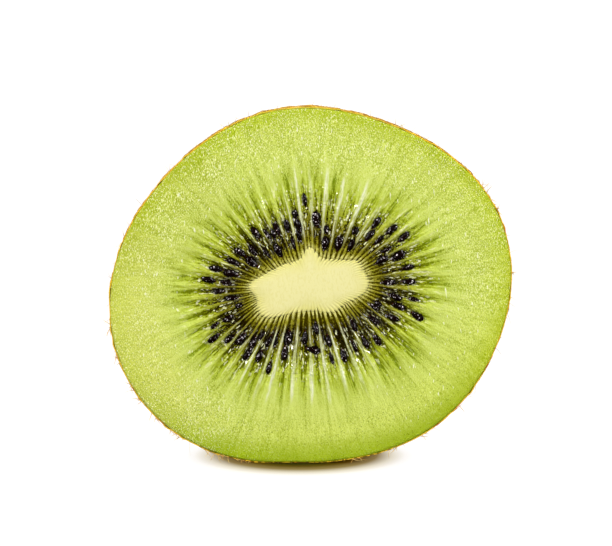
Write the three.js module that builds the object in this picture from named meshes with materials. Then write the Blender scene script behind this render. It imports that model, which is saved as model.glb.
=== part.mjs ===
// A thick crosswise slice of kiwifruit, standing on its rim.
// Millimetres, +Z up. The two cut faces look along -Y and +Y, and the fruit's own axis lies along Y.
// The skinned flesh is one ring of fruit, and the pale core runs through it from face to face.

import * as THREE from "three";
import { ParametricGeometry } from "three/addons/geometries/ParametricGeometry.js";
import { mergeVertices } from "three/addons/utils/BufferGeometryUtils.js";

// The slice
const FACE_RADIUS = 26; // mean radius of a cut face, out to the skin
const THICKNESS = 14; // from cut face to cut face
const BARREL_BULGE = 0.15; // the skin stands out this much half way between the faces
const FOOT_DEPTH = 0.4; // the weight of the slice presses its foot flat by this much
const EDGE_ROUNDING = 0.35; // the cut edge rolls over into the skin

// A kiwifruit is not a true oval. Each wave swells the outline by its share of the radius,
// in that many lobes, the first of them leaning that many degrees up from +X.
const FACE_WAVES = [
  { lobes: 2, share: 0.0645, lean: 13.5 },
  { lobes: 3, share: 0.0146, lean: -22.5 },
  { lobes: 4, share: 0.0114, lean: 25 },
  { lobes: 5, share: 0.0067, lean: 24 },
];

// The core: an oval that reaches out into the flesh at a few corners, each centred at so
// many degrees up from +X and fading away over its spread.
const CORE_HALF_WIDTH = 7.45;
const CORE_HALF_HEIGHT = 3.6;
const CORE_LEAN = 7; // degrees, right end up
const CORE_LIFT = 0.7; // its centre lies this far above the middle of the face
const CORE_CORNERS = [
  { reach: 0.85, at: 39, spread: 14.5 },
  { reach: 1.6, at: 93.5, spread: 7.5 },
  { reach: 1.1, at: 175.5, spread: 16 },
  { reach: 1.85, at: 227.5, spread: 20 },
  { reach: 0.8, at: 297, spread: 11.5 },
  { reach: 0.8, at: 348, spread: 30 },
];
const CORE_CROWN = 0.12; // the firm core stands this far proud of the flesh round it
const GROWTH_GAP = 0.32; // left between the core and the flesh

// The chambers: dark wedges of pulp that hold the seeds, with pale walls between them
const CHAMBERS = 43;
const CHAMBER_DEPTH = 0.3; // the pulp sinks this far behind the walls
const CHAMBER_REACH = 0.62; // share of the way from core to skin
const SEED_RING = { depth: 0.25, at: 0.2, spread: 0.16 }; // the ring sinks as a whole too

// How finely the surfaces are cut
const SPOKES = 3 * CHAMBERS; // two on the pulp and one on the wall of each chamber
const FACE_RINGS = [0, 0.07, 0.16, 0.26, 0.38, 0.5, 0.64, 0.82, 1]; // shares of the way out
const EDGE_STEPS = 2;
const SIDE_STEPS = 8;
const CORE_RINGS = [0, 0.55, 1]; // shares of the core's own radius
const MERGE_DISTANCE = 0.001;

const { cos, sin, exp, PI } = Math;
const radians = THREE.MathUtils.degToRad;

// Distance from the middle of a face to its edge, in the direction of angle.
function faceRadius(angle) {
  const swell = FACE_WAVES.map(({ lobes, share, lean }) => share * cos(lobes * (angle - radians(lean))));
  return FACE_RADIUS * (1 + swell.reduce((sum, wave) => sum + wave, 0));
}

// Points on the outlines of the skin and of the core, as x and z from the middle of the face.
// Both share one angle, so that the spokes between them fan out from the long core as the
// chamber walls do.
function skinOutline(angle, standOff) {
  const radius = faceRadius(angle) + standOff;
  return new THREE.Vector2(radius * cos(angle), radius * sin(angle));
}

function coreOutline(angle, standOff) {
  const lean = radians(CORE_LEAN);
  const point = new THREE.Vector2(
    (CORE_HALF_WIDTH + standOff) * cos(angle - lean),
    (CORE_HALF_HEIGHT + standOff) * sin(angle - lean),
  ).rotateAround(new THREE.Vector2(), lean);
  const outward = new THREE.Vector2(cos(angle), sin(angle));
  for (const { reach, at, spread } of CORE_CORNERS) {
    const share = exp((2 * (cos(angle - radians(at)) - 1)) / radians(spread) ** 2);
    point.addScaledVector(outward, reach * share);
  }
  point.y += CORE_LIFT;
  return point;
}

// The directions in which both solids are cut into spokes, and where the skin is widest and
// lowest on them: the slice stands with its pressed foot on the floor, under its own width.
const SPOKE_ANGLES = Array.from({ length: SPOKES }, (_, i) => (2 * PI * i) / SPOKES);
const WIDEST_SECTION = SPOKE_ANGLES.map((angle) => skinOutline(angle, BARREL_BULGE));
const WIDTH_BOX = new THREE.Box2().setFromPoints(WIDEST_SECTION);
const FLOOR = WIDTH_BOX.min.y + FOOT_DEPTH;

// How far the flesh lies behind the cut plane at a share of the way from core to skin.
function faceHollow(angle, share) {
  const pulp = 0.5 - 0.5 * cos(CHAMBERS * angle); // 1 in a chamber's pulp, 0 on its walls
  const reached = share < CHAMBER_REACH ? sin((PI * share) / CHAMBER_REACH) : 0;
  const ring = exp(-(((share - SEED_RING.at) / SEED_RING.spread) ** 2));
  return SEED_RING.depth * ring + CHAMBER_DEPTH * pulp * reached;
}

// The section of the flesh on every spoke: over the front face, round the cut edge, along the
// skin, and back again. Each point has its share of the way from core to skin, its stand-off
// from the outline of the face, and its place between the two faces.
function fleshSection() {
  const half = THICKNESS / 2;
  const face = FACE_RINGS.map((share) => ({ share, standOff: -EDGE_ROUNDING, y: -half, onFace: true }));
  const edge = Array.from({ length: EDGE_STEPS }, (_, i) => {
    const turn = (((i + 1) / (EDGE_STEPS + 1)) * PI) / 2;
    const y = EDGE_ROUNDING * (1 - cos(turn)) - half;
    return { share: 1, standOff: EDGE_ROUNDING * (sin(turn) - 1), y };
  });
  const side = Array.from({ length: SIDE_STEPS / 2 + 1 }, (_, i) => {
    const y = (EDGE_ROUNDING - half) * (1 - (2 * i) / SIDE_STEPS);
    return { share: 1, standOff: 0, y };
  });
  const front = [...face, ...edge, ...side];
  const back = front.slice(0, -1).reverse();
  return [...front, ...back.map((point) => ({ ...point, y: -point.y }))];
}

// The section of the core: out over its front, straight through the slice, and in over its back.
function coreSection() {
  const front = CORE_RINGS.map((share) => ({ share, y: -THICKNESS / 2 - CORE_CROWN * (1 - share ** 2) }));
  const back = [...front].reverse();
  return [...front, ...back.map((point) => ({ ...point, y: -point.y }))];
}

function fleshPoint(angle, { share, standOff, y, onFace }, target) {
  const barrel = BARREL_BULGE * (1 - ((2 * y) / THICKNESS) ** 2);
  const inner = coreOutline(angle, GROWTH_GAP / 2);
  const at = inner.lerp(skinOutline(angle, standOff + barrel), share);
  const hollow = onFace ? Math.sign(y) * faceHollow(angle, share) : 0;
  target.set(at.x, y - hollow, Math.max(at.y, FLOOR));
}

function corePoint(angle, { share, y }, target) {
  const middle = new THREE.Vector2(0, CORE_LIFT);
  const at = middle.lerp(coreOutline(angle, -GROWTH_GAP / 2), share);
  target.set(at.x, y, at.y);
}

// A closed surface from a section repeated on every spoke. The spokes run clockwise, so that
// it faces outwards. Where the section ends on one point, the slivers left there are dropped.
function closedSurface(section, sectionPoint) {
  const lastRow = section.length - 1;
  const pointAt = (u, v, target) => {
    const angle = SPOKE_ANGLES[Math.round((1 - u) * SPOKES) % SPOKES];
    sectionPoint(angle, section[Math.round(v * lastRow)], target);
  };
  const grid = new ParametricGeometry(pointAt, SPOKES, lastRow);
  grid.deleteAttribute("normal");
  grid.deleteAttribute("uv");
  const merged = mergeVertices(grid, MERGE_DISTANCE);
  const kept = [];
  for (let i = 0; i < merged.index.count; i += 3) {
    const corners = [0, 1, 2].map((k) => merged.index.getX(i + k));
    if (new Set(corners).size === 3) kept.push(...corners);
  }
  merged.setIndex(kept);
  merged.computeVertexNormals();
  return merged;
}

function makeFlesh() {
  const section = fleshSection();
  const material = new THREE.MeshStandardMaterial({ color: 0xc4d45c, roughness: 0.35, metalness: 0 });
  const flesh = new THREE.Mesh(closedSurface([...section, section[0]], fleshPoint), material);
  flesh.name = "flesh";
  return flesh;
}

function makeCore() {
  const material = new THREE.MeshStandardMaterial({ color: 0xf2eaa6, roughness: 0.45, metalness: 0 });
  const core = new THREE.Mesh(closedSurface(coreSection(), corePoint), material);
  core.name = "core";
  return core;
}

const slice = new THREE.Group();
slice.add(makeFlesh(), makeCore());
slice.position.set(-(WIDTH_BOX.min.x + WIDTH_BOX.max.x) / 2, 0, -FLOOR);

export default slice;
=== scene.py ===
# Green kiwifruit slice, standing on its rim: the looks
import math
import bpy
import numpy as np
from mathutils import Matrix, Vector


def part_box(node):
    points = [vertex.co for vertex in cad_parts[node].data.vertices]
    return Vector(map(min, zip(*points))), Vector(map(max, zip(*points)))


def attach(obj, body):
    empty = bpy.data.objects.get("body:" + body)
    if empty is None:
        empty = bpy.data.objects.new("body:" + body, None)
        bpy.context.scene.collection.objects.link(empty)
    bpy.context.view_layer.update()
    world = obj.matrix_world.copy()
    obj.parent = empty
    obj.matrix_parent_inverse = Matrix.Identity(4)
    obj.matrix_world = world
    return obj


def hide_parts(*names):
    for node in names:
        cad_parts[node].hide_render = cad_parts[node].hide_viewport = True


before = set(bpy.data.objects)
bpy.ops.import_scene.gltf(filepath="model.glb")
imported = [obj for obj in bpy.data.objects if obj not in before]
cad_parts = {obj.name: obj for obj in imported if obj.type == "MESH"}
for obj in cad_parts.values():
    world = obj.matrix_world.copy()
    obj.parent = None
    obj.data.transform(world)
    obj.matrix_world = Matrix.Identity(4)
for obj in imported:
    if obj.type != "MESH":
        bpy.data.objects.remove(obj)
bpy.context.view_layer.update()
mm = 0.001  # shapes are worked out in millimetres


# the fruit's own shape, the same as the solids'

fruit = {
    "waves": ((2, 0.0645, 13.5), (3, 0.0146, -22.5), (4, 0.0114, 25.0), (5, 0.0067, 24.0)),
    "bulge": 0.15,  # how far the skin stands out half way through
    "skinThickness": 0.12,
    "skinGap": 0.1,  # the skin stops this far short of the cut faces
    "edgeRound": 0.3,  # the flesh rolls over just inside the skin
    "coreHalfWidth": 7.45,
    "coreHalfHeight": 3.6,
    "coreLean": 7.0,  # degrees, right end up
    "coreLift": 0.7,
    "coreCorners": (  # how far out, at what angle, spread over what
        (0.85, 39.0, 14.5), (1.6, 93.5, 7.5), (1.1, 175.5, 16.0),
        (1.85, 227.5, 20.0), (0.8, 297.0, 11.5), (0.8, 348.0, 30.0),
    ),
}


def swell(angle):
    lobes = [share * np.cos(count * (angle - math.radians(lean))) for count, share, lean in fruit["waves"]]
    return 1 + sum(lobes)


def wholeTurn(count):  # angles all the way round
    return np.linspace(0, 2 * math.pi, count, endpoint=False)


turn = wholeTurn(720)
boxLow, boxHigh = (np.array(corner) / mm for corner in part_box("flesh"))
thickness = boxHigh[1] - boxLow[1]
unitWidth = np.ptp(swell(turn) * np.cos(turn))
faceRadius = (boxHigh[0] - boxLow[0] - 2 * fruit["bulge"]) / unitWidth
skinRadius = faceRadius * swell(turn) + fruit["bulge"]
skinX = skinRadius * np.cos(turn)
middleX = (boxLow[0] + boxHigh[0] - np.ptp(skinX)) / 2 - skinX.min()
middleZ = boxHigh[2] - (skinRadius * np.sin(turn)).max()


def rimPoint(angle, standOff=0.0):  # x and z from the middle of the face
    radius = faceRadius * swell(angle) + standOff
    return np.stack([radius * np.cos(angle), radius * np.sin(angle)], -1)


def corePoint(angle):
    lean = math.radians(fruit["coreLean"])
    along = fruit["coreHalfWidth"] * np.cos(angle - lean)
    across = fruit["coreHalfHeight"] * np.sin(angle - lean)
    x = along * math.cos(lean) - across * math.sin(lean)
    z = along * math.sin(lean) + across * math.cos(lean) + fruit["coreLift"]
    for reach, at, spread in fruit["coreCorners"]:
        nearness = np.exp(2 * (np.cos(angle - math.radians(at)) - 1) / math.radians(spread) ** 2)
        x = x + reach * nearness * np.cos(angle)
        z = z + reach * nearness * np.sin(angle)
    return np.stack([x, z], -1)


def spokePoint(angle, share, standOff=0.0):  # share is 0 at the core's edge and 1 at the skin
    share = np.asarray(share)[..., None]
    return corePoint(angle) * (1 - share) + rimPoint(angle, standOff) * share


def spokeLength(angle):
    return np.linalg.norm(rimPoint(angle) - corePoint(angle), axis=-1)


def atDepth(flat, depth):  # from the face's own x and z to points with a depth
    return np.stack([flat[..., 0], np.broadcast_to(depth, flat.shape[:-1]), flat[..., 1]], -1)


def alongSpoke(angle, share):  # the direction that the materials' streaks and fades follow
    return np.stack([np.cos(angle), np.sin(angle), share], -1)


def toWorld(points, floor=0.0):  # from the middle of the slice to the frame
    moved = points + np.array([middleX, 0, middleZ])
    moved[..., 2] = np.maximum(moved[..., 2], floor)
    return moved


# small tools

fruitPieces = []


def smooth(value, low, high):
    step = np.clip((value - low) / (high - low), 0, 1)
    return step * step * (3 - 2 * step)


def softNoise(x, y, z, seed):  # smooth random values from -1 to 1
    cells = np.random.default_rng(seed).uniform(-1, 1, (48, 48, 48))
    place = np.stack(np.broadcast_arrays(x, y, z), -1)
    base = np.floor(place).astype(int)
    part = place - base
    part = part * part * (3 - 2 * part)
    total = 0
    for corner in range(8):
        step = np.array([corner & 1, corner >> 1 & 1, corner >> 2 & 1])
        i, j, k = np.moveaxis((base + step) % 48, -1, 0)
        total = total + np.prod(np.where(step, part, 1 - part), axis=-1) * cells[i, j, k]
    return total


def ringNoise(angle, fineness, place, seed):  # the same, going round the fruit and on along place
    return softNoise(np.cos(angle) * fineness, np.sin(angle) * fineness, place, seed)


def addObject(name, data):
    made = bpy.data.objects.new(name, data)
    bpy.context.scene.collection.objects.link(made)
    return made


def makePiece(name, points, faces, attributes, material):  # points in millimetres
    mesh = bpy.data.meshes.new(name)
    mesh.from_pydata((np.asarray(points) * mm).tolist(), [], faces)
    mesh.polygons.foreach_set("use_smooth", [True] * len(mesh.polygons))
    for key, values in attributes.items():
        values = np.asarray(values, dtype=np.float32)
        if values.ndim == 2:
            mesh.attributes.new(key, "FLOAT_VECTOR", "POINT").data.foreach_set("vector", values.ravel())
        else:
            mesh.attributes.new(key, "FLOAT", "POINT").data.foreach_set("value", values.ravel())
    mesh.materials.append(material)
    mesh.validate()
    mesh.update()
    piece = addObject(name, mesh)
    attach(piece, "root")
    fruitPieces.append(piece)
    return piece


def ringFaces(rows, columns, closed):  # quads between rows of points that go all round
    row, column = np.meshgrid(np.arange(rows if closed else rows - 1), np.arange(columns), indexing="ij")
    nextRow, nextColumn = (row + 1) % rows, (column + 1) % columns
    quads = [row * columns + column, row * columns + nextColumn,
             nextRow * columns + nextColumn, nextRow * columns + column]
    return np.stack(quads, -1).reshape(-1, 4).tolist()


def isSocket(value):
    return isinstance(value, bpy.types.NodeSocket)


def connect(value, socket):
    value.id_data.links.new(value, socket)


def node(tree, kind, inputs=None, **settings):
    made = tree.nodes.new(kind)
    for key, value in settings.items():
        setattr(made, key, value)
    for key, value in (inputs or {}).items():
        if isSocket(value):
            connect(value, made.inputs[key])
        else:
            made.inputs[key].default_value = value
    return made


def follow(kind, inputs, **settings):  # a node in the same tree as what feeds it
    tree = next(value.id_data for value in inputs.values() if isSocket(value))
    return node(tree, kind, inputs, **settings)


def maths(operation, first, second=0.0, third=0.0):
    return follow("ShaderNodeMath", {0: first, 1: second, 2: third}, operation=operation).outputs[0]


def times(product, *factors):
    for factor in factors:
        product = maths("MULTIPLY", product, factor)
    return product


def plus(total, *terms):
    for term in terms:
        total = maths("ADD", total, term)
    return total


def scaled(value, scale, offset):
    return maths("MULTIPLY_ADD", value, scale, offset)


def weighted(value, weight):  # a 0 to 1 mask, centred and scaled
    return times(maths("SUBTRACT", value, 0.5), weight)


def fade(value, low, high, outLow=0.0, outHigh=1.0):  # eases from outLow at low to outHigh at high
    return follow("ShaderNodeMapRange", {"Value": value, "From Min": low, "From Max": high,
                  "To Min": outLow, "To Max": outHigh}, interpolation_type="SMOOTHSTEP").outputs[0]


def linear(colour):  # from everyday 0-255 values
    return tuple((c / 12.92 if c <= 0.04045 else ((c + 0.055) / 1.055) ** 2.4)
                 for c in (v / 255 for v in colour)) + (1.0,)


def mixColour(factor, first, second, blend="MIX"):
    first, second = (value if isSocket(value) else linear(value) for value in (first, second))
    return follow("ShaderNodeMix", {0: factor, 6: first, 7: second}, data_type="RGBA",
                  blend_type=blend).outputs[2]


def ramp(factor, stops):
    made = follow("ShaderNodeValToRGB", {0: factor})
    band = made.color_ramp
    while len(band.elements) < len(stops):
        band.elements.new(0.5)
    for element, (position, colour) in zip(band.elements, stops):
        element.position = position
        element.color = linear(colour)
    return made.outputs[0]


def newGroup(name, inputs, outputs):  # an input without a value is a vector
    group = bpy.data.node_groups.new(name, "ShaderNodeTree")
    for label, value in inputs.items():
        kind = "NodeSocketVector" if value is None else "NodeSocketFloat"
        socket = group.interface.new_socket(name=label, in_out="INPUT", socket_type=kind)
        if value is not None:
            socket.default_value = value
    for label in outputs:
        group.interface.new_socket(name=label, in_out="OUTPUT", socket_type="NodeSocketFloat")
    return group, group.nodes.new("NodeGroupInput").outputs, group.nodes.new("NodeGroupOutput").inputs


def useGroup(group, inputs):
    return follow("ShaderNodeGroup", inputs, node_tree=group).outputs


def newMaterial(name, constants):
    material = bpy.data.materials.new(name)
    material.use_nodes = True
    tree = material.node_tree
    shader = tree.nodes["Principled BSDF"]
    for key, value in constants.items():
        shader.inputs[key].default_value = value
    return material, tree, shader.inputs


def attribute(tree, name, output="Fac"):  # a value that the mesh carries
    return node(tree, "ShaderNodeAttribute", attribute_name=name).outputs[output]


def objectPlace(tree):
    return node(tree, "ShaderNodeTexCoord").outputs["Object"]


def split(vector):
    return follow("ShaderNodeSeparateXYZ", {0: vector}).outputs


def stretched(place, factors):
    return follow("ShaderNodeVectorMath", {0: place, 1: factors}, operation="MULTIPLY").outputs[0]


def noise(place, scale, **settings):  # Detail and Roughness, if not the usual ones
    return follow("ShaderNodeTexNoise", {"Vector": place, "Scale": scale, **settings}).outputs[0]


def cellDistance(place, scale):  # from the nearest of many scattered points
    return follow("ShaderNodeTexVoronoi", {"Vector": place, "Scale": scale}).outputs["Distance"]


def addBump(shader, relief, strength, distance):
    bump = follow("ShaderNodeBump", {"Height": relief, "Strength": strength, "Distance": distance})
    connect(bump.outputs[0], shader["Normal"])


# effects shared by the fruit's materials

streakSets = {  # fineness, length and softness
    "fine": (64.0, 12.0, 0.6),  # these also make the core's ragged edge
    "broad": (25.0, 2.6, 0.55),
    "dashes": (80.0, 22.0, 0.4),
    "glintLines": (44.0, 15.0, 0.4),
    "specks": (48.0, 34.0, 0.3),
}
cellLook = {
    "stretch": (1.2, 1.2, 0.6),  # taller than wide
    "brightAbove": 0.655,  # cells with more than this are painted bright, as glints
    "patchiness": 0.13,  # how much lower that lies in a patch of bright ones
    "softness": 0.07,
    "dotScale": 2500.0,
    "dotEdge": (0.26, 0.12),
}
coreRim = {  # where core and flesh meet
    "meanFibre": 0.38,  # a fibre of this strength neither bites nor sticks out
    "bite": 0.06,
    "ragged": 0.03,
    "softness": 0.006,
}


def makeStreaks():  # fibres that run out along the spokes
    group, given, result = newGroup(
        "streaks", {"Along": None, "Fineness": 40.0, "Length": 5.0, "Softness": 0.5}, ["Value"])
    x, y, z = split(given["Along"])
    x, y, z = times(x, given["Fineness"]), times(y, given["Fineness"]), times(z, given["Length"])
    place = follow("ShaderNodeCombineXYZ", {0: x, 1: y, 2: z}).outputs[0]
    lines = noise(place, 1.0, Detail=3.0, Roughness=given["Softness"])
    connect(fade(lines, 0.3, 0.7), result["Value"])
    return group


def makeSpeckle():  # glistening cells, the bright ones painted as glints; their sizes in millimetres
    group, given, result = newGroup(
        "speckle", {"Place": None, "Cell": 0.25, "Patch": 3.0}, ["Grain", "Bright", "Dots"])
    tall = stretched(given["Place"], cellLook["stretch"])
    grain = noise(tall, maths("DIVIDE", 1000.0, given["Cell"]), Detail=1.0, Roughness=0.6)
    patch = noise(given["Place"], maths("DIVIDE", 1000.0, given["Patch"]), Detail=1.0)
    edge = scaled(patch, -cellLook["patchiness"], cellLook["brightAbove"])
    dotted = cellDistance(given["Place"], cellLook["dotScale"])
    connect(fade(grain, 0.25, 0.75), result["Grain"])
    connect(fade(grain, edge, plus(edge, cellLook["softness"])), result["Bright"])
    connect(fade(dotted, *cellLook["dotEdge"]), result["Dots"])
    return group


def makeCoreEdge():  # 1 in the core, with the dark fibres biting into it
    group, given, result = newGroup("coreEdge", {"Share": 0.0, "Fibre": 0.5, "Ragged": 0.5}, ["Core"])
    bite = times(maths("SUBTRACT", given["Fibre"], coreRim["meanFibre"]), coreRim["bite"])
    edge = plus(maths("SUBTRACT", given["Share"], bite), weighted(given["Ragged"], coreRim["ragged"]))
    connect(fade(edge, coreRim["softness"], -coreRim["softness"]), result["Core"])
    return group


streaks = makeStreaks()
speckle = makeSpeckle()
coreEdge = makeCoreEdge()


def streakLayer(along, name):
    given = dict(zip(("Fineness", "Length", "Softness"), streakSets[name]))
    return useGroup(streaks, {"Along": along, **given})[0]


def cellLayer(place, sizes):
    return useGroup(speckle, {"Place": place, "Cell": sizes[0], "Patch": sizes[1]})


# chambers, walls and the hollows that hold the seeds

chambers = {
    "spokes": 774,  # points round each face
    "walls": (8, 18, 27, 36, 45, 55, 64, 75, 83, 91, 97, 104, 112, 118, 124, 132, 139, 151.5, 159, 169,
              178, 185, 192, 200, 207, 214, 221, 229, 237, 245.5, 251, 262, 272, 280, 288, 297, 305, 313,
              319, 329, 338, 347, 356),  # degrees round the face
    "strong": (64, 75, 83, 91, 97, 245.5, 251, 262, 272, 280, 288, 297),  # the whitest, widest walls, at top and bottom, partly painted sheen
    "reach": 0.63,  # share of the way out where the pulp ends
    "reachJitter": 0.07,
    "wobble": 0.7,  # degrees
    "wallHeight": 0.26,
    "pulpDepth": 0.15,
    "ringDepth": 0.16,
    "fibreHeight": 0.05,
    "grooveDepth": 0.12,  # between the fibres, where they meet the core
    "waviness": 0.07,
    "grainHeight": 0.06,
    "moreAtFoot": 0.19,  # how much more of a chamber's width the pulp takes there
    "lessAtRight": 0.11,
    "ringMiddle": 0.2,  # where the hollow ring is deepest
    "ringSpread": 0.16,
    # by the share of the way out, pulpWidth by the share of the pulp's own reach
    "pulpWidth": ((0, 0.25), (0.15, 0.22), (0.45, 0.34), (0.75, 0.6), (1.0, 1.1)),
    "pulpBlur": ((0, 0.25), (0.2, 0.3), (0.6, 0.5)),
    "wallWidth": ((0, 0.28), (0.25, 0.22), (0.5, 0.3), (0.7, 0.5)),
    "wallStrength": ((0, 0.15), (0.06, 0.35), (0.18, 0.9), (0.42, 0.9), (0.62, 0.35), (0.75, 0)),
    "fibreStrength": ((0.05, 1), (0.15, 0.6), (0.3, 0)),
    # by degrees round the face
    "teeth": (  # how deep the fibres bite into the core
        (0, 0.45), (35, 0.9), (75, 0.9), (110, 0.45), (190, 0.4), (230, 1), (255, 0.9), (275, 0.7),
        (310, 0.95), (350, 0.45), (360, 0.45),
    ),
    "edgeTone": (  # paler or darker next to the core
        (0, 0.3), (60, 0.28), (120, 0), (180, 0.24), (240, 0), (270, -0.9), (300, -0.45), (330, 0),
        (360, 0.3),
    ),
    "ringTone": (  # and among the seeds
        (0, -0.08), (30, 0.02), (60, 0.24), (90, 0.28), (120, -0.42), (150, -0.06), (210, -0.06),
        (240, -0.24), (270, -0.1), (300, -0.42), (330, -0.34), (360, -0.08),
    ),
}

seeds = {  # degrees round the face, share of the way out
    "plain": (
        (342, .25), (348, .2), (0.5, .135), (333, .265), (323, .19), (315, .31), (308, .275),
        (307, .14), (292, .3), (285.4, .195), (278, .11), (268, .165), (254.8, .26), (248, .36),
        (240.5, .28), (233.6, .28), (232.9, .19), (211.8, .355), (206.2, .21), (189.9, .145),
        (173.9, .295), (165.2, .285), (155.6, .225), (146.4, .235), (138.5, .19), (128.6, .28),
        (114.6, .24), (107.5, .235), (99.6, .19), (56.6, .11), (50.1, .315), (48.6, .215), (40, .32),
        (31.9, .345), (25.2, .135), (12.1, .285), (1.7, .275),
    ),
    "big": (
        (341.4, .4), (255.4, .16), (224.6, .205), (165.6, .17), (146.6, .13), (120.8, .1), (87.9, .225),
        (80, .095), (68, .11), (22.7, .25),
    ),
    "small": ((332, .12), (336.5, .12), (200.2, .12), (100.7, .28), (80.4, .19), (59.4, .22)),
    "sunken": ((350, .33), (218.8, .265), (205.9, .315), (182.6, .215), (174.4, .165)),
    "narrow": (
        (300.5, .26), (284.6, .315), (247, .18), (242.2, .17), (106.5, .11), (100.5, .125),
        (94.2, .335), (122.3, .235), (118.2, .215), (131.4, .12), (40.9, .205), (31.2, .195),
        (236.3, .13),
    ),
    "across": ((273.8, .25),),
}
seedShapes = {  # length, width, thickness, how far it stands proud
    "plain": (2.0, 0.82, 0.8, 0.24),
    "big": (2.2, 1.12, 0.95, 0.32),
    "small": (1.25, 0.72, 0.6, 0.14),
    "sunken": (1.85, 0.78, 0.75, -0.08),
    "narrow": (1.9, 0.52, 0.55, 0.12),
    "across": (2.25, 1.1, 0.9, 0.3),
}
seedHabits = {
    "wander": (4, 0.05),  # how far the back's seeds lie from the front's: degrees and share
    "lean": 5,  # degrees off the spoke
    "acrossLean": 72,
    "sizes": (0.93, 1.05),
    "widths": (0.95, 1.05),
    "bed": 0.03,  # how far below the bottom of the hollow ring they start
    "socket": 0.3,  # depth of the hollow round each
}


def placeSeeds(front):  # middle, direction, sizes, stand-off and tone of each
    dice = np.random.default_rng(11 if front else 12)
    wander, shift = seedHabits["wander"]
    placed = []
    for kind, places in seeds.items():
        for angle, share in places:
            if not front:  # the other face cuts other seeds
                angle = angle + dice.uniform(-wander, wander)
                share = share + dice.uniform(-shift, shift)
            angle = np.array([math.radians(angle)])
            middle = spokePoint(angle, [share])[0]
            ahead = spokePoint(angle, [share + 0.02])[0] - middle
            heading = math.atan2(ahead[1], ahead[0]) + math.radians(dice.normal(0, seedHabits["lean"]))
            if kind == "across":
                heading += math.radians(seedHabits["acrossLean"])
            length, width, deep, proud = seedShapes[kind]
            size = dice.uniform(*seedHabits["sizes"])
            wide = width * size * dice.uniform(*seedHabits["widths"])
            placed.append((middle, heading, length * size, wide, deep, proud, dice.uniform(0, 1)))
    return placed


placedSeeds = {True: placeSeeds(True), False: placeSeeds(False)}


def lookUp(name, value):  # in one of the tables of the chambers
    return np.interp(value, *zip(*chambers[name]))


def chamberFields(angle, share, front):  # what the cut shows at each point of a face
    sideSeed = 0 if front else 50  # the two faces have different grain
    sway = ringNoise(angle, 6, share * 3, 1 + sideSeed)
    degrees = (np.degrees(angle) + chambers["wobble"] * sway) % 360
    walls = np.array(chambers["walls"], dtype=float)
    count = len(walls)
    marks = np.concatenate([walls[-1:] - 360, walls, walls[:1] + 360])
    phase = np.interp(degrees, marks, np.arange(-1, count + 1))
    nearest = np.abs(phase - np.round(phase)) * 2  # 0 on a wall, 1 half way between two
    wall = np.round(phase).astype(int) % count
    chamber = np.floor(phase).astype(int) % count
    dice = np.random.default_rng(3 + sideSeed)
    strength = np.where(np.isin(walls, chambers["strong"]), dice.uniform(1.0, 1.25, count),
                        dice.uniform(0.4, 0.8, count))[wall]
    tip = chambers["reach"] + dice.uniform(-1, 1, count)[chamber] * chambers["reachJitter"]
    upright = np.abs(np.sin(np.radians(degrees))) ** 1.2

    atFoot = smooth(-np.sin(angle - 0.15), 0.65, 0.95)
    atRight = smooth(np.cos(angle - 0.5), 0.9, 1.0)
    opening = lookUp("pulpWidth", share / tip)
    opening = opening + chambers["moreAtFoot"] * atFoot - chambers["lessAtRight"] * atRight
    blur = lookUp("pulpBlur", share)
    pale = 1 - smooth(nearest, opening - blur / 2, opening + blur / 2)
    pale = np.maximum(pale, smooth(share / tip, 0.82, 1.12))
    ridge = np.exp(-(nearest / lookUp("wallWidth", share)) ** 2) * lookUp("wallStrength", share)
    # walls at top and bottom come out whiter, a painted sheen from the side lamps, and stand taller
    ridge = ridge * strength * (0.5 + 0.5 * upright) * smooth(share, -0.05, 0.02)
    fibre = (0.5 + 0.5 * np.cos(4 * math.pi * phase)) * lookUp("fibreStrength", share)
    fibre = coreRim["meanFibre"] + (fibre - coreRim["meanFibre"]) * lookUp("teeth", degrees)

    inward = (share - chambers["ringMiddle"]) / chambers["ringSpread"]
    height = -chambers["ringDepth"] * np.exp(-inward ** 2)
    inRing = smooth(share, 0.0, 0.08) * (1 - smooth(share, 0.45, 0.66))
    height = height + chambers["wallHeight"] * ridge - chambers["pulpDepth"] * (1 - pale) * inRing
    height = height + chambers["fibreHeight"] * (fibre - 0.3) * smooth(share, -0.06, 0.02)
    swing = ringNoise(angle, 3 + 9 * share, share * 9, 5 + sideSeed)
    height = height + chambers["waviness"] * swing * smooth(share, 0.1, 0.5)
    grain = ringNoise(angle, 22, share * 24, 9 + sideSeed)
    height = height + chambers["grainHeight"] * grain * inRing
    height = height - chambers["grooveDepth"] * (1 - fibre) * np.exp(-(share / 0.05) ** 2)
    tone = lookUp("edgeTone", degrees) * np.exp(-(share / 0.08) ** 2)
    amongSeeds = smooth(share, 0.06, 0.12) * (1 - smooth(share, 0.28, 0.42))
    tone = tone + lookUp("ringTone", degrees) * amongSeeds
    return {"pale": pale, "ridge": ridge, "fibre": fibre, "tone": tone, "height": height}


def seedHollows(points, front):  # sockets, and how near and how wet their rims are
    hollow, near, wet = np.zeros((3,) + points.shape[:-1])
    for middle, heading, length, width, deep, proud, tone in placedSeeds[front]:
        away = points - middle
        along = away[..., 0] * math.cos(heading) + away[..., 1] * math.sin(heading)
        across = away[..., 1] * math.cos(heading) - away[..., 0] * math.sin(heading)
        reach = np.sqrt((along / (length / 2)) ** 2 + (across / (width / 2)) ** 2)
        socket = seedHabits["socket"] - min(proud, 0.0)
        hollow = np.maximum(hollow, socket * (1 - smooth(reach, 0.75, 1.25)))
        near = np.maximum(near, 1 - smooth(reach, 0.95, 1.5))
        wet = np.maximum(wet, (tone * 7 % 1) ** 1.5 * (1 - smooth(reach, 1.1, 2.4)))
    return hollow, near, wet


# core, which meets the flesh along a ragged edge

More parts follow.
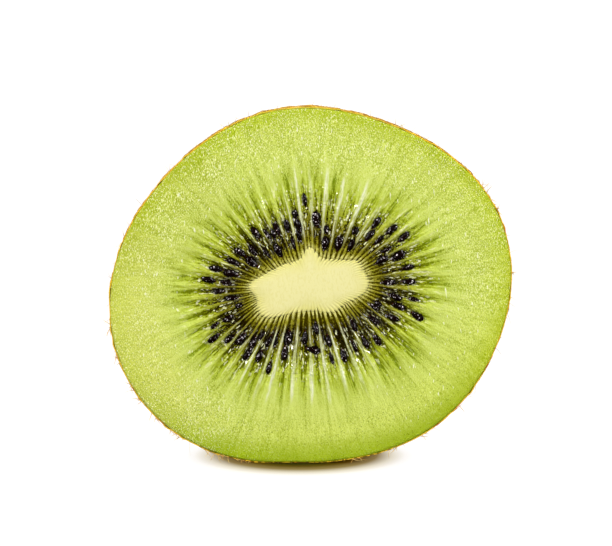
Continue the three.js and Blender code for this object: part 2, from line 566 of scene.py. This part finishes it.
core = {
    "rings": 14,
    "crown": 0.1,  # how far the middle stands proud of the cut
    "cellSizes": (0.3, 4.0),  # of the cells and of their patches
    "edgeColour": (228, 221, 128),
    "innerColours": ((0.4, (233, 226, 150)), (1.0, (237, 230, 164))),
    "grooveColour": (84, 76, 2),
    "grainColour": (226, 217, 136),
}


def makeCoreMaterial():
    material, tree, shader = newMaterial("kiwiCore", {
        "Subsurface Weight": 0.1, "Subsurface Scale": 0.0004, "Subsurface Radius": (1.0, 1.0, 0.6),
        "Coat Weight": 0.1, "Coat Roughness": 0.2, "IOR": 1.4, "Specular IOR Level": 0.2})
    along = attribute(tree, "along", "Vector")
    share = split(along)[2]
    fine = streakLayer(along, "fine")
    grain = cellLayer(objectPlace(tree), core["cellSizes"])["Grain"]
    fringe = fade(share, -0.16, -0.02)  # the fibres die away towards the middle
    depth = times(share, -8.0)  # 0 at the core's edge, rising inwards
    depth = plus(depth, weighted(fine, times(fringe, 0.3)))
    colour = ramp(depth, ((0.0, core["edgeColour"]), *core["innerColours"]))
    colour = mixColour(fade(grain, 0.5, 0.1, 0.0, 0.35), colour, core["grainColour"])
    fibre = attribute(tree, "fibre")
    inCore = useGroup(coreEdge, {"Share": share, "Fibre": fibre, "Ragged": fine})[0]
    colour = mixColour(inCore, core["grooveColour"], colour)
    connect(colour, shader["Base Color"])
    connect(fade(grain, 0.0, 1.0, 0.55, 0.42), shader["Roughness"])
    relief = scaled(times(fine, fringe), 0.5, times(grain, 0.6))
    addBump(shader, relief, 0.5, 0.00004)
    return material


def coreRows(angles, front):
    sizes = np.linspace(0.02, 1, core["rings"]) ** 0.8
    angle, size = np.meshgrid(angles, sizes)
    centre = np.array([0.0, fruit["coreLift"]])
    flat = centre + (corePoint(angle) - centre) * size[..., None]
    share = (size - 1) * np.linalg.norm(corePoint(angle) - centre, axis=-1) / spokeLength(angle)
    fields = chamberFields(angle, share, front)
    depth = thickness / 2 + core["crown"] * (1 - size ** 2) + fields["height"]
    return atDepth(flat, -depth if front else depth), alongSpoke(angle, share), fields["fibre"]


def withMiddles(values):  # plus the mean of the first row and of the last
    return np.concatenate([values.reshape(-1, *values.shape[2:]), values[[0, -1]].mean(axis=1)])


def makeCore():
    angles = wholeTurn(chambers["spokes"])
    points, along, fibre = (np.concatenate([front, back[::-1]])
                            for front, back in zip(coreRows(angles, True), coreRows(angles, False)))
    rows, columns = points.shape[:2]
    faces = [face[::-1] for face in ringFaces(rows, columns, False)]
    total = rows * columns
    lastRow = total - columns
    for column in range(columns):  # a fan closes the middle of each face
        following = (column + 1) % columns
        faces.append([total, column, following])
        faces.append([total + 1, lastRow + following, lastRow + column])
    carried = {"along": withMiddles(along), "fibre": withMiddles(fibre)}
    piece = makePiece("kiwiCore", toWorld(withMiddles(points)), faces, carried, makeCoreMaterial())
    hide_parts("core")
    print("core:", len(faces), "faces")


# flesh

flesh = {
    "ringShares": np.concatenate([np.linspace(0, 0.06, 5), np.linspace(0.073, 0.5, 34),
                                  np.linspace(0.53, 0.97, 17), [0.985, 0.995, 1.0]]),
    "sideRows": 6,
    "cellSizes": (0.135, 3.5),
    "wallWhiteAndSheen": (243, 246, 204),
    "paintedGlintLine": (239, 242, 176),  # painted glints: bright lines and specks in the pulp
    "paintedGlintSpeck": (254, 254, 204),
    "paintedFleck": (244, 248, 204),  # painted glints: bright flecks and cells in the outer flesh
    "paintedSparkle": (246, 249, 188),
    "dot": (126, 148, 18),  # dark dots there, mostly near the foot
    "juiceGlint": (206, 204, 152),  # painted sheen of the juice round some of the seeds
    "gapShade": (10, 5, 2),  # painted shade in the gaps in the pulp next to a seed
    "paintedFootShade": (150, 176, 18),
    "topGreen": (180, 198, 44),
    "leftPaintedLight": (228, 228, 112),
    "upperLeftShade": (246, 245, 236),  # painted shade, multiplied, on the upper left
    "colours": (  # share of the way out: darkest, middle and lightest
        (0.0, (78, 70, 0), (178, 171, 56), (232, 225, 122)),
        (0.05, (74, 64, 0), (129, 122, 10), (172, 165, 46)),
        (0.12, (30, 20, 0), (98, 90, 4), (134, 126, 28)),
        (0.22, (32, 24, 0), (114, 110, 12), (154, 152, 42)),
        (0.3, (54, 48, 0), (146, 153, 18), (188, 195, 58)),
        (0.37, (100, 105, 2), (166, 178, 30), (204, 214, 86)),
        (0.45, (120, 135, 10), (176, 191, 48), (209, 222, 98)),
        (0.55, (126, 148, 16), (194, 208, 80), (213, 226, 112)),
        (0.66, (174, 192, 60), (207, 220, 98), (221, 233, 120)),
        (0.84, (170, 186, 52), (205, 218, 88), (224, 235, 116)),
        (0.94, (161, 182, 30), (197, 211, 66), (214, 226, 88)),
        (1.0, (149, 170, 8), (189, 203, 36), (202, 213, 56)),
    ),
}


def fleshLevel(share, pale, ridge, fibre, tone, layers, masks):  # 0 darkest, 1 lightest
    ring, pulpy, lit = masks
    fringe = fade(share, 0.22, 0.06)  # 1 in the fine lines next to the core
    coarse = times(pulpy, fade(share, 0.25, 0.42, 1.1, 0.5))
    grainy = times(fade(share, 0.4, 0.78, 0.1, 1.45), scaled(lit, 0.45, 0.55))
    return plus(
        0.5,
        weighted(pale, fade(share, 0.72, 0.22, 0.18, 0.57)),
        fade(share, 0.16, 0.03, 0.05, 0.26),
        times(ridge, 0.45),
        tone,
        weighted(fade(fibre, 0.2, 0.8), times(fringe, 1.05)),
        weighted(layers["fine"], scaled(ring, 0.3, 0.35)),
        weighted(layers["broad"], fade(share, 0.78, 0.45, 0.3, 0.95)),
        weighted(layers["pulp"], coarse),
        weighted(layers["dashes"], times(pulpy, 0.75)),
        weighted(layers["cells"]["Grain"], grainy))


def makeFleshMaterial():
    material, tree, shader = newMaterial("kiwiFlesh", {
        "Subsurface Weight": 0.06, "Subsurface Scale": 0.0004, "Coat Roughness": 0.06, "Coat IOR": 1.8,
        "IOR": 1.45, "Specular IOR Level": 0.02, "Subsurface Radius": (1.0, 1.2, 0.3)})
    along = attribute(tree, "along", "Vector")
    cosine, sine, share = split(along)
    pale, ridge, fibre, nearSeed, wet, tone = (
        attribute(tree, name) for name in ("pale", "ridge", "fibre", "nearSeed", "wet", "tone"))
    place = objectPlace(tree)
    layers = {name: streakLayer(along, name) for name in streakSets}
    layers["cells"] = cellLayer(place, flesh["cellSizes"])
    layers["pulp"] = fade(noise(place, 4300.0, Detail=2.0, Roughness=0.7), 0.32, 0.68)
    fine, broad, cells, pulp = (layers[name] for name in ("fine", "broad", "cells", "pulp"))
    blotch = fade(noise(place, 2300.0, Detail=2.0, Roughness=0.6), 0.3, 0.7)
    flecks = noise(stretched(place, (1.0, 1.0, 0.34)), 3000.0, Detail=1.0)

    def toward(side, up, first, last):  # 0 to 1 as the face turns that way
        return fade(scaled(sine, up, times(cosine, side)), first, last)

    ring = fade(share, 0.6, 0.36)  # 1 among the seeds, 0 in the outer flesh
    lit = toward(-0.5, 0.87, -0.85, -0.25)  # 0 at the foot and on its right, where less light falls: the painted sparkle and the grain are weaker there
    pulpy = times(ring, maths("SUBTRACT", 1.0, times(pale, 0.75)))
    level = fleshLevel(share, pale, ridge, fibre, tone, layers, (ring, pulpy, lit))
    low, middle, high = (ramp(share, [(row[0], row[column]) for row in flesh["colours"]])
                         for column in (1, 2, 3))
    colour = mixColour(fade(level, 0.05, 0.5), low, middle)
    colour = mixColour(fade(level, 0.5, 1.0), colour, high)

    overlays = (  # a colour, then the masks whose product says where it lies
        # pale walls: their own colour, with painted sheen where whitest
        ("wallWhiteAndSheen", fade(ridge, 0.33, 0.72), fade(fine, 0.15, 0.6, 0.3, 1.0),
         fade(broad, 0.15, 0.55, 0.4, 1.0)),
        # painted glints: bright lines, then specks, in the pulp
        ("paintedGlintLine", fade(layers["glintLines"], 0.84, 0.95), fade(broad, 0.35, 0.7),
         fade(share, 0.62, 0.4), fade(share, 0.07, 0.18), 0.95),
        ("paintedGlintSpeck", fade(layers["specks"], 0.9, 0.96), times(pulpy, fade(share, 0.07, 0.16)),
         fade(share, 0.5, 0.3, 0.25, 1.0)),
        # painted shade: darker, greener flesh by the skin towards the foot
        ("paintedFootShade", fade(share, 0.78, 0.99), fade(sine, -0.2, -0.85), 0.72),
        ("topGreen", fade(share, 0.9, 0.985), fade(sine, 0.2, 0.9), 0.5),
        # painted light: paler, yellower flesh on the left
        ("leftPaintedLight", toward(0.95, 0.3, -0.7, -1.0), fade(share, 0.5, 0.8, 0.0, 0.4)),
        ("upperLeftShade", toward(-0.87, 0.5, 0.85, 1.0), fade(share, 0.35, 0.5)),
        ("paintedSparkle", cells["Bright"], scaled(lit, 0.9, 0.1), fade(share, 0.5, 0.76)),
        ("dot", cells["Dots"], fade(share, 0.6, 0.8), fade(sine, 0.1, -0.7, 0.25, 0.8)),
        ("paintedFleck", fade(flecks, 0.67, 0.73), fade(share, 0.95, 0.85),
         fade(sine, -0.97, -0.7, 0.1, 1.0), fade(share, 0.45, 0.55)),
        ("gapShade", fade(pulp, 0.5, 0.15), fade(nearSeed, 0.3, 0.9, 0.0, 0.7)),
        ("juiceGlint", fade(blotch, 0.5, 0.75), fade(pulp, 0.3, 0.7), fade(wet, 0.05, 0.5), 0.2),
    )
    for name, *masks in overlays:
        blend = "MULTIPLY" if name == "upperLeftShade" else "MIX"
        colour = mixColour(times(*masks), colour, flesh[name], blend)
    inCore = useGroup(coreEdge, {"Share": share, "Fibre": fibre, "Ragged": fine})[0]
    colour = mixColour(inCore, colour, core["edgeColour"])
    connect(colour, shader["Base Color"])

    juicy = times(ring, fade(blotch, 0.6, 0.8, 0.0, 0.65), fade(share, 0.03, 0.12))
    connect(maths("MAXIMUM", juicy, fade(wet, 0.1, 0.6)), shader["Coat Weight"])
    connect(fade(ring, 0.0, 1.0, 0.4, 0.14), shader["Roughness"])
    relief = plus(times(fine, scaled(ring, 0.5, 0.1)),
                  times(cells["Grain"], fade(ring, 0.0, 1.0, 0.45, 0.1)),
                  times(blotch, times(ring, 1.1)),
                  times(pulp, times(pulpy, 0.4)))
    addBump(shader, relief, 1.0, 0.00014)
    return material


def faceRows(angles, shares, front):  # one cut face, from the core's edge to the skin
    angle, share = np.meshgrid(angles, shares)
    inset = -fruit["skinThickness"]
    flat = spokePoint(angle, share, inset)
    fields = chamberFields(angle, share, front)
    hollow, near, wet = seedHollows(flat, front)
    depth = thickness / 2 + fields["height"] - hollow
    fromEdge = np.clip(1 - (1 - share) * spokeLength(angle) / fruit["edgeRound"], 0, 1)
    depth = depth - fruit["edgeRound"] * (1 - np.sqrt(1 - fromEdge ** 2))
    carried = {name: fields[name] for name in ("pale", "ridge", "fibre", "tone")}
    return atDepth(flat, -depth if front else depth), {
        "along": alongSpoke(angle, share), **carried, "nearSeed": near, "wet": wet}


def plainRows(angles, shares, depths, standOffs):  # rows out of sight, under the skin or at the core
    angle, share = np.meshgrid(angles, shares)
    depth = np.array(depths)[:, None]
    flat = spokePoint(angle, share, np.array(standOffs)[:, None])
    blank = np.zeros(angle.shape)
    return atDepth(flat, depth), {
        "along": alongSpoke(angle, share), "pale": blank + 1, "ridge": blank, "fibre": blank,
        "tone": blank, "nearSeed": blank, "wet": blank}


def makeFlesh():
    angles = wholeTurn(chambers["spokes"])
    shares = flesh["ringShares"]
    depths = np.linspace(-1, 1, flesh["sideRows"]) * (thickness / 2 - fruit["edgeRound"] - fruit["skinGap"])
    bulges = fruit["bulge"] * (1 - (2 * depths / thickness) ** 2) - fruit["skinThickness"]
    inner = np.linspace(1, -1, 4) * (thickness / 2 - 0.9)
    blocks = [faceRows(angles, shares, True),
              plainRows(angles, [1.0] * len(depths), depths, bulges),
              faceRows(angles, shares[::-1], False),
              plainRows(angles, [0.0] * len(inner), inner, [0.0] * len(inner))]
    points = np.concatenate([block[0] for block in blocks])
    rows, columns = points.shape[:2]
    faces = [face[::-1] for face in ringFaces(rows, columns, True)]
    carried = {}
    for key in blocks[0][1]:
        values = np.concatenate([block[1][key] for block in blocks])
        carried[key] = values.reshape(rows * columns, -1).squeeze()
    points = toWorld(points, fruit["skinThickness"]).reshape(-1, 3)
    piece = makePiece("kiwiFlesh", points, faces, carried, makeFleshMaterial())
    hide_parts("flesh")
    print("flesh:", len(faces), "faces")


makeFlesh()
makeCore()


# skin

skin = {
    "spokes": 720,
    "rows": 44,
    "innerRows": 6,
    "lumps": 0.05,
    "colours": ((0.0, (92, 60, 22)), (0.4, (122, 84, 32)), (0.7, (146, 104, 42)), (1.0, (172, 128, 60))),
    "poreColour": (70, 38, 12),
    "sheen": (250, 196, 40),
    "cutColours": ((198, 112, 8), (240, 198, 46)),  # where the knife went through it
    "cutShadedAtFoot": (118, 92, 6),
    "footHeights": (0.004, 0.0005),  # metres
    "cutLitAtTop": (214, 202, 64),
    "topHeights": (0.0445, 0.0482),
}


def makeSkinMaterial():
    material, tree, shader = newMaterial("kiwiSkin", {
        "Sheen Weight": 1.0, "Sheen Roughness": 0.28, "Sheen Tint": linear(skin["sheen"]), "IOR": 1.35,
        "Specular IOR Level": 0.2})
    place = objectPlace(tree)
    height = split(place)[2]  # metres above the ground
    broad = noise(place, 420.0, Detail=4.0, Roughness=0.6)
    fine = noise(place, 2400.0, Detail=3.0)
    pores = cellDistance(place, 1100.0)
    level = scaled(maths("SUBTRACT", fine, 0.5), 0.9, fade(broad, 0.1, 0.9))
    colour = ramp(level, skin["colours"])
    colour = mixColour(fade(pores, 0.25, 0.05, 0.0, 0.6), colour, skin["poreColour"])
    cutColour = mixColour(fade(broad, 0.34, 0.46), *skin["cutColours"])
    # painted shade: the cut skin goes darker, in broken patches, just above the ground
    cutFootShadeMask = times(fade(height, *skin["footHeights"]), fade(fine, 0.4, 0.55))
    cutColour = mixColour(cutFootShadeMask, cutColour, skin["cutShadedAtFoot"])
    # painted light: the cut skin goes paler towards the top
    pale = fade(height, *skin["topHeights"], 0.0, 0.75)
    cutColour = mixColour(pale, cutColour, skin["cutLitAtTop"])
    connect(mixColour(attribute(tree, "cut"), colour, cutColour), shader["Base Color"])
    connect(fade(fine, 0.3, 0.7, 0.55, 0.8), shader["Roughness"])
    relief = plus(fine, times(fade(pores, 0.3, 0.0), 0.8))
    addBump(shader, relief, 0.8, 0.00012)
    return material


def skinSurface(angle, depth, inset=0.0):  # the skin's outer side, or as far inside it as inset
    barrel = fruit["bulge"] * (1 - (2 * depth / thickness) ** 2)
    lump = ringNoise(angle, 9, depth * 0.35, 21)
    fine = ringNoise(angle, 26, depth * 1.1, 22)
    lump = lump + 0.6 * fine + 4 * np.maximum(fine - 0.2, 0)
    return atDepth(rimPoint(angle, barrel - inset + skin["lumps"] * (lump - 0.8)), depth)


def makeSkin():
    angles = wholeTurn(skin["spokes"])
    reach = thickness / 2 - fruit["skinGap"]
    outerDepths = np.linspace(-1, 1, skin["rows"]) * reach
    innerDepths = np.linspace(1, -1, skin["innerRows"]) * (reach - 0.02)
    outer = skinSurface(*np.meshgrid(angles, outerDepths))
    inner = skinSurface(*np.meshgrid(angles, innerDepths), fruit["skinThickness"])
    points = np.concatenate([toWorld(outer), toWorld(inner, fruit["skinThickness"])])
    rows, columns = points.shape[:2]
    faces = [face[::-1] for face in ringFaces(rows, columns, True)]
    cut = np.zeros((rows, columns))  # 1 along both rims, the inner side's too
    cut[[0, skin["rows"] - 1, skin["rows"], rows - 1]] = 1
    cut[[1, skin["rows"] - 2]] = 0.5
    makePiece("kiwiSkin", points.reshape(-1, 3), faces, {"cut": cut.ravel()}, makeSkinMaterial())
    print("skin:", len(faces), "faces")


makeSkin()


# seeds

seedLook = {
    "rows": 28,
    "columns": 20,
    "point": 0.5,  # how much narrower the end towards the core is
    "lumps": 0.12,
    "pits": 0.2,
    "bend": 0.05,  # of its width
    "colours": ((3, 0, 1), (14, 3, 3)),
    "pitColour": (34, 12, 10),
    "tipColour": (96, 42, 16),
    "glintColour": (255, 244, 246),
}


def makeSeedMaterial():
    material, tree, shader = newMaterial("kiwiSeed", {
        "Coat Weight": 0.22, "Coat Roughness": 0.04, "Coat IOR": 1.8, "IOR": 1.5,
        "Specular IOR Level": 0.02})
    place = objectPlace(tree)
    pits = cellDistance(place, 5200.0)
    colour = mixColour(attribute(tree, "tone"), *seedLook["colours"])
    colour = mixColour(fade(pits, 0.2, 0.6, 0.0, 0.25), colour, seedLook["pitColour"])
    tip = fade(attribute(tree, "tip"), 0.86, 1.0, 0.0, 0.7)
    colour = mixColour(tip, colour, seedLook["tipColour"])
    # painted glints on the seeds' crests
    glints = fade(noise(place, 4200.0, Detail=1.0), 0.66, 0.69)
    onTop = fade(attribute(tree, "crest"), 0.3, 0.8)
    colour = mixColour(times(glints, onTop), colour, seedLook["glintColour"])
    connect(colour, shader["Base Color"])
    connect(fade(pits, 0.0, 0.6, 0.3, 0.2), shader["Roughness"])
    addBump(shader, pits, 0.8, 0.00012)
    return material


def seedMesh(length, width, deep, tone):  # pointed towards the core, blunt towards the skin
    along = np.linspace(0, 1, seedLook["rows"])[:, None]
    around = wholeTurn(seedLook["columns"])
    cosine, sine = np.cos(around), np.sin(around)
    spread = (1 - np.abs(2 * along - 1) ** 2.3) ** 0.62 * (1 - seedLook["point"] * (1 - along) ** 1.3)
    spread = np.maximum(spread / spread.max(), 0.02)
    lump = softNoise(along * 4 + tone * 17, cosine * 1.2, sine * 1.2, 24)  # other lumps for each tone
    pit = softNoise(along * 13 + tone * 31, cosine * 3.2, sine * 3.2, 25)
    radius = spread * (1 + seedLook["lumps"] * lump + seedLook["pits"] * pit)
    x = (along - 0.5) * length
    y = radius * cosine * width / 2 + seedLook["bend"] * width * np.sin(along * math.pi + tone * 6)
    z = radius * sine * deep / 2
    return np.stack(np.broadcast_arrays(x, y, z), -1), *np.broadcast_arrays(1 - along, sine)


def makeSeeds():
    points, faces, tones, tips, crests = [], [], [], [], []
    start = 0
    bed = thickness / 2 - chambers["ringDepth"] - seedHabits["bed"]
    for front in (True, False):
        outward = np.array([0, -1.0 if front else 1.0, 0])
        for middle, heading, length, width, deep, proud, tone in placedSeeds[front]:
            body, tip, crest = seedMesh(length, width, deep, tone)
            rows, columns = body.shape[:2]
            along = np.array([math.cos(heading), 0, math.sin(heading)])
            across = np.array([-math.sin(heading), 0, math.cos(heading)])
            centre = np.array([middle[0], 0, middle[1]]) + outward * (bed + proud - deep / 2)
            placed = centre + body[..., :1] * along + body[..., 1:2] * across + body[..., 2:] * outward
            points.append(toWorld(placed).reshape(-1, 3))
            quads = ringFaces(rows, columns, False)
            caps = [list(range(columns))[::-1], list(range((rows - 1) * columns, rows * columns))]
            for face in quads + caps:
                corners = [start + corner for corner in face]
                faces.append(corners if front else corners[::-1])
            tones.extend([tone] * rows * columns)
            tips.extend(tip.ravel().tolist())
            crests.extend(crest.ravel().tolist())
            start += rows * columns
    makePiece("kiwiSeeds", np.concatenate(points), faces, {"tone": tones, "tip": tips, "crest": crests},
              makeSeedMaterial())
    print("seeds:", len(placedSeeds[True]) + len(placedSeeds[False]))


makeSeeds()


# hairs

hairs = {
    "fuzz": 5200,  # short ones that lie along the skin
    "fuzzLength": (0.5, 1.2),
    "fuzzLift": (0.04, 0.2),  # from lying along the skin to standing off it
    "strays": 110,  # longer ones that stand off it
    "strayLength": (0.9, 2.0),
    "strayLift": (0.4, 1.0),
    "tufts": (  # close to the front cut: angle, spread, how many
        (5, 0.6, 3), (24, 1.2, 6), (30, 0.8, 3), (62, 0.8, 3), (118, 1, 3), (164, 1, 3), (191, 0.6, 5),
        (200, 1.3, 9), (208, 0.8, 5), (213, 0.8, 4), (220, 1.2, 5), (227, 1.2, 8), (238, 1.5, 6),
        (243, 1.4, 9), (249, 1.8, 8), (262, 2, 8), (285, 1.0, 6), (298, 0.8, 6), (308, 1, 4), (322, 1, 3),
    ),
    "tuftLength": (0.7, 1.8),
    "tuftLift": (0.1, 0.9),
    "thickness": 0.05,
    "tuftThickness": 0.1,
    "edgeGap": 0.25,  # none but the tufts grow nearer the cut than this
    "taper": ((0.0, 0.5), (0.4, 0.42), (0.75, 0.28), (1.0, 0.04)),  # share of the length, radius
    "colours": ((212, 134, 30), (255, 228, 140)),
}


def makeHairMaterial():
    material, tree, shader = newMaterial("kiwiHair", {"Roughness": 0.5, "IOR": 1.5})
    uneven = noise(objectPlace(tree), 1500.0)
    level = scaled(uneven, 0.5, times(attribute(tree, "tone"), 0.7))
    connect(mixColour(level, *hairs["colours"]), shader["Base Color"])
    return material


def placeHairs(dice):  # the fuzz, then the strays, then the tufts
    fuzz, strays = hairs["fuzz"], hairs["strays"]
    tufted = sum(count for at, spread, count in hairs["tufts"])
    reach = thickness / 2 - hairs["edgeGap"]
    angles = [dice.uniform(0, 2 * math.pi, fuzz)]
    depths = [dice.uniform(-reach, reach, fuzz)]
    lengths = [dice.uniform(*hairs["fuzzLength"], fuzz)]
    lifts = [dice.uniform(*hairs["fuzzLift"], fuzz)]
    angles += [dice.uniform(0, 2 * math.pi, strays)]
    angles += [np.radians(dice.normal(at, spread, count)) for at, spread, count in hairs["tufts"]]
    depths += [dice.uniform(-reach, reach, strays), -reach - 0.12 + np.abs(dice.normal(0, 0.15, tufted))]
    lengths += [dice.uniform(*hairs["strayLength"], strays), dice.uniform(*hairs["tuftLength"], tufted)]
    lifts += [dice.uniform(*hairs["strayLift"], strays), dice.uniform(*hairs["tuftLift"], tufted)]
    return *(np.concatenate(values) for values in (angles, depths, lengths, lifts)), tufted


def unit(vectors):
    return vectors / np.linalg.norm(vectors, axis=-1, keepdims=True)


def makeHairs():
    dice = np.random.default_rng(31)
    angle, depth, length, lift, tufted = placeHairs(dice)
    count = len(angle)
    inTuft = slice(count - tufted, count)
    stout = np.full(count, hairs["thickness"])
    stout[inTuft] = hairs["tuftThickness"]
    root = skinSurface(angle, depth, 0.03)  # rooted a little inside the skin
    outward = np.stack([np.cos(angle), 0 * angle, np.sin(angle)], -1)
    roundways = np.stack([-np.sin(angle), 0 * angle, np.cos(angle)], -1)
    sideways = np.array([0, 1.0, 0])
    turnBy = dice.uniform(0, 2 * math.pi, count)[:, None]
    lying = roundways * np.cos(turnBy) + sideways * np.sin(turnBy)
    heading = outward * lift[:, None] + lying * (1 - lift[:, None] * 0.6)
    heading[inTuft, 1] = -np.abs(heading[inTuft, 1]) - 0.2  # the tufts lean out past the front cut
    heading = unit(heading)
    curl = lying * dice.uniform(-0.4, 0.4, count)[:, None]
    curl = curl - outward * dice.uniform(0, 0.3, count)[:, None]
    side = unit(np.cross(heading, outward + 0.1 * sideways))
    third = np.cross(heading, side)
    rings = []
    for step, radius in hairs["taper"]:
        middle = root + heading * (length * step)[:, None] + curl * (length * step ** 2)[:, None]
        for corner in range(3):
            swing = 2 * math.pi * corner / 3
            off = side * math.cos(swing) + third * math.sin(swing)
            rings.append(middle + off * radius * stout[:, None])
    points = np.stack(rings, 1)  # hair, corner, xyz
    perHair = points.shape[1]
    base = np.arange(count)[:, None] * perHair
    quads = np.concatenate([base + np.array(quad) for quad in ringFaces(perHair // 3, 3, False)]).tolist()
    caps = np.concatenate([base + np.array([2, 1, 0]), base + np.array([9, 10, 11])]).tolist()
    tone = np.repeat(dice.uniform(0, 1, count), perHair)
    makePiece("kiwiHairs", toWorld(points, 0.02).reshape(-1, 3), quads + caps, {"tone": tone},
              makeHairMaterial())
    print("hairs:", count)


makeHairs()


# floor, light and camera

stage = {
    "floorSize": 4.0,  # metres
    # dark brown, seen only in the shadow, which it tints warm
    "shadowFloorColours": ((40, 27, 7), (44, 30, 9)),
    "glowWithPaintedShadow": ((0.43, (0, 0, 0)), (0.53, (76, 54, 2)), (0.66, (136, 116, 72)), (0.79, (222, 214, 196)),
             (0.9, (248, 245, 241)), (1.0, (255, 255, 255))),  # the floor glows white all round, with a painted shadow under the foot
    "glowStrength": 1.05,
    "shade": (-0.0015, 0.0165, 0.019),  # middle, half width and half depth of the painted shadow
    "ambient": 0.1,  # light from all round
    "mirrored": 0.005,  # how bright the surroundings are in reflections
    "backdrop": 1.1,  # how bright the surroundings look
    "suns": (  # name, strength, spread, lean from upright, on the floor
        ("floorSun", 8.0, 46, -14, True),
        ("backSun", 4.0, 80, -28, False),
    ),
    "lamps": (  # name, azimuth, elevation, distance, width, height, watts
        ("left", -56, 16, 0.5, 0.05, 0.34, 1.7),
        ("right", 54, 16, 0.5, 0.05, 0.34, 1.7),
        ("front", 0, 34, 0.6, 0.5, 0.4, 1.3),
    ),
}
view = {
    "distance": 0.3,  # metres from the front face
    "rise": 4.5,  # degrees above level
    "frameWidth": 0.0835,  # how much of the face's plane is taken in
    "aimAside": -0.0006,  # from the middle of the face's box
    "aimUp": 0.0017,
}


def makeFloor():
    half = stage["floorSize"] / 2
    mesh = bpy.data.meshes.new("floor")
    corners = [(-half, -half, 0), (half, -half, 0), (half, half, 0), (-half, half, 0)]
    mesh.from_pydata(corners, [], [(0, 1, 2, 3)])
    material, tree, shader = newMaterial("floor", {
        "Roughness": 0.6, "Specular IOR Level": 0.2, "Emission Strength": stage["glowStrength"]})
    place = objectPlace(tree)
    colour = mixColour(noise(place, 40.0), *stage["shadowFloorColours"])
    connect(colour, shader["Base Color"])
    aside, wide, deep = stage["shade"]
    centred = follow("ShaderNodeMapping", {"Vector": place, "Location": (-aside / wide, 0.0, 0.0),
                     "Scale": (1 / wide, 1 / deep, 0.0)}).outputs[0]
    away = follow("ShaderNodeVectorMath", {0: centred}, operation="LENGTH").outputs["Value"]
    connect(ramp(away, stage["glowWithPaintedShadow"]), shader["Emission Color"])
    mesh.materials.append(material)
    floor = addObject("floor", mesh)
    floor.visible_glossy = False  # the studio is dark in the fruit's wet reflections
    floor.visible_diffuse = False
    return floor


def onlyOn(light, name, pieces):  # a light that reaches nothing else
    collection = bpy.data.collections.get(name) or bpy.data.collections.new(name)
    for piece in pieces:
        if piece.name not in collection.objects:
            collection.objects.link(piece)
    light.light_linking.receiver_collection = collection


def makeSurroundings():
    world = bpy.data.worlds.new("world")
    world.use_nodes = True
    tree = world.node_tree
    path = node(tree, "ShaderNodeLightPath").outputs
    seen = times(path["Is Camera Ray"], stage["backdrop"])
    unseen = fade(path["Is Glossy Ray"], 0.0, 1.0, stage["ambient"], stage["mirrored"])
    background = tree.nodes["Background"].inputs
    background["Color"].default_value = (1, 1, 1, 1)
    connect(maths("MAXIMUM", unseen, seen), background["Strength"])
    bpy.context.scene.world = world


def standBack(holder, target, away, distance):  # and look at the target
    holder.location = target + away * distance
    holder.rotation_euler = (-away).to_track_quat("-Z", "Y").to_euler()


def makeLights(floor):
    for name, strength, spread, lean, onFloor in stage["suns"]:
        sun = bpy.data.lights.new(name, "SUN")
        sun.energy = strength
        sun.angle = math.radians(spread)
        holder = addObject(name, sun)
        holder.visible_glossy = False
        holder.rotation_euler.x = math.radians(lean)
        onlyOn(holder, "stageOnly" if onFloor else "fruitOnly", [floor] if onFloor else fruitPieces)
    target = Vector((0, 0, middleZ * mm))
    for name, azimuth, elevation, distance, width, height, watts in stage["lamps"]:
        lamp = bpy.data.lights.new(name, "AREA")
        lamp.energy = watts
        lamp.shape = "RECTANGLE"
        lamp.size = width
        lamp.size_y = height
        around, up = math.radians(azimuth), math.radians(elevation)
        away = Vector((math.sin(around) * math.cos(up), -math.cos(around) * math.cos(up), math.sin(up)))
        box = addObject(name, lamp)
        standBack(box, target, away, distance)
        box.visible_glossy = name != "front"  # the fill doesn't show in the wet surfaces
        onlyOn(box, "fruitOnly", fruitPieces)


def makeCamera():
    camera = bpy.data.cameras.new("camera")
    camera.sensor_width = 36.0
    camera.lens = camera.sensor_width * view["distance"] / view["frameWidth"]
    camera.clip_end = 20.0
    rise = math.radians(view["rise"])
    faceMiddle = (boxLow + boxHigh) / 2 * mm
    aim = Vector((faceMiddle[0] + view["aimAside"], boxLow[1] * mm, faceMiddle[2] + view["aimUp"]))
    back = Vector((0, -math.cos(rise), math.sin(rise)))
    holder = addObject("camera", camera)
    standBack(holder, aim, back, view["distance"])
    bpy.context.scene.camera = holder


makeSurroundings()
makeLights(makeFloor())
makeCamera()
bpy.context.scene.view_settings.view_transform = "Standard"
print("floor, light and camera are ready")
